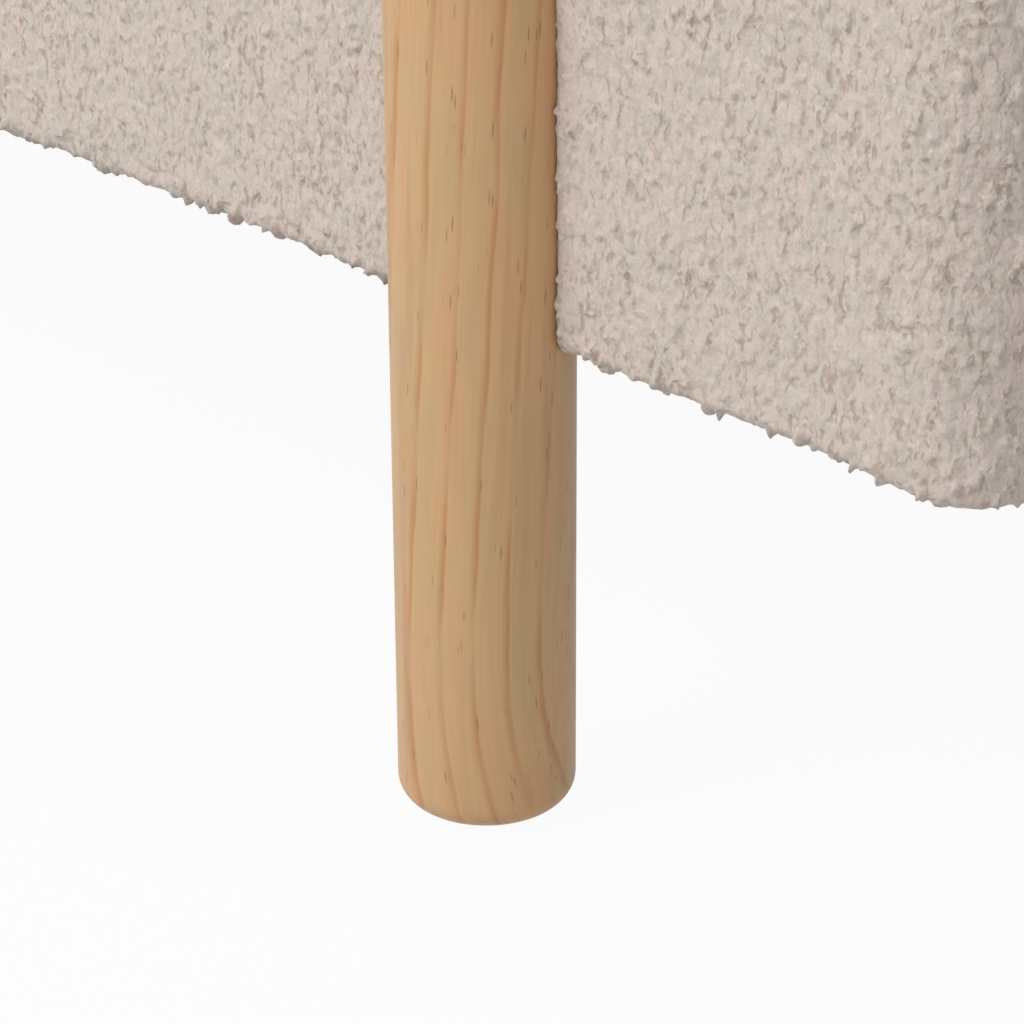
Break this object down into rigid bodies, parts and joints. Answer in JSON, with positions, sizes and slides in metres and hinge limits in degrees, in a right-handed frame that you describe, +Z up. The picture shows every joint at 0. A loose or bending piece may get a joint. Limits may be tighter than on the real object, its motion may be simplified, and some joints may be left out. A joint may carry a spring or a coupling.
{
  "type": "sofa",
  "caption": "Low upholstered sofa with loose seat and back cushions and round wooden posts let into the arm corners as legs.",
  "frame": {"origin": "on the floor, under the centre of the sofa's outline", "axes": "+X to the sofa's right-hand side as seen from the front, +Y to the back, +Z up; the front faces -Y"},
  "size_m": [1.576, 0.888, 0.8371],
  "materials": {
    "boucle": "looped boucle upholstery fabric, matte",
    "pine": "clear matt lacquered pine, turned round",
    "frame_timber": "unfinished softwood and birch plywood",
    "board": "thin hardboard",
    "foam": "polyurethane foam",
    "webbing": "woven elastic webbing",
    "lining_cloth": "non-woven polypropylene cloth",
    "spring_steel": "drawn spring wire",
    "zinc_steel": "zinc-plated steel",
    "glide_plastic": "nylon glide"
  },
  "bodies": {
    "frame": {"arm_left_bottom_board": "frame_timber", "arm_left_cover": "boucle", "arm_left_end_boards": "frame_timber", "arm_left_foam": "foam", "arm_left_front_stile": "frame_timber", "arm_left_outer_stiles": "frame_timber", "arm_left_panels": "board", "arm_left_rear_stile": "frame_timber", "arm_left_top_board": "frame_timber", "arm_right_bottom_board": "frame_timber", "arm_right_cover": "boucle", "arm_right_end_boards": "frame_timber", "arm_right_foam": "foam", "arm_right_front_stile": "frame_timber", "arm_right_outer_stiles": "frame_timber", "arm_right_panels": "board", "arm_right_rear_stile": "frame_timber", "arm_right_top_board": "frame_timber", "back_cover": "boucle", "back_foam": "foam", "back_gable_centre": "frame_timber", "back_gable_left": "frame_timber", "back_gable_right": "frame_timber", "back_low_rail": "frame_timber", "back_rear_panel": "board", "back_top_rails": "frame_timber", "back_webbing": "webbing", "base_centre_rail": "frame_timber", "base_corner_blocks": "frame_timber", "base_front_cover": "boucle", "base_front_foam": "foam", "base_front_rail": "frame_timber", "base_rear_rail": "frame_timber", "base_side_rail_left": "frame_timber", "base_side_rail_right": "frame_timber", "deck_cloth": "lining_cloth", "dust_cloths": "lining_cloth", "joining_bolts": "zinc_steel", "joining_tee_nuts": "zinc_steel", "post_bolts": "zinc_steel", "post_front_left": "pine", "post_front_right": "pine", "post_glides": "glide_plastic", "post_inserts": "zinc_steel", "post_rear_left": "pine", "post_rear_right": "pine", "post_washers": "zinc_steel", "seat_springs": "spring_steel", "spring_clips": "spring_steel", "spring_pad": "foam", "spring_tie_wires": "spring_steel"},
    "seat_cushion_right": {"seat_cushion_right_cover": "boucle", "seat_cushion_right_filling": "foam"},
    "back_cushion_right": {"back_cushion_right_cover": "boucle", "back_cushion_right_filling": "foam"},
    "seat_cushion_left": {"seat_cushion_left_cover": "boucle", "seat_cushion_left_filling": "foam"},
    "back_cushion_left": {"back_cushion_left_cover": "boucle", "back_cushion_left_filling": "foam"}
  },
  "joints": [
    {"name": "seat_cushion_right_lift", "type": "slide", "parent": "frame", "child": "seat_cushion_right", "axis": [0, 0, 1], "range_m": [0, 0.3]},
    {"name": "back_cushion_right_lift", "type": "slide", "parent": "seat_cushion_right", "child": "back_cushion_right", "axis": [0, 0, 1], "range_m": [0, 0.35]},
    {"name": "seat_cushion_left_lift", "type": "slide", "parent": "frame", "child": "seat_cushion_left", "axis": [0, 0, 1], "range_m": [0, 0.3]},
    {"name": "back_cushion_left_lift", "type": "slide", "parent": "seat_cushion_left", "child": "back_cushion_left", "axis": [0, 0, 1], "range_m": [0, 0.35]}
  ]
}
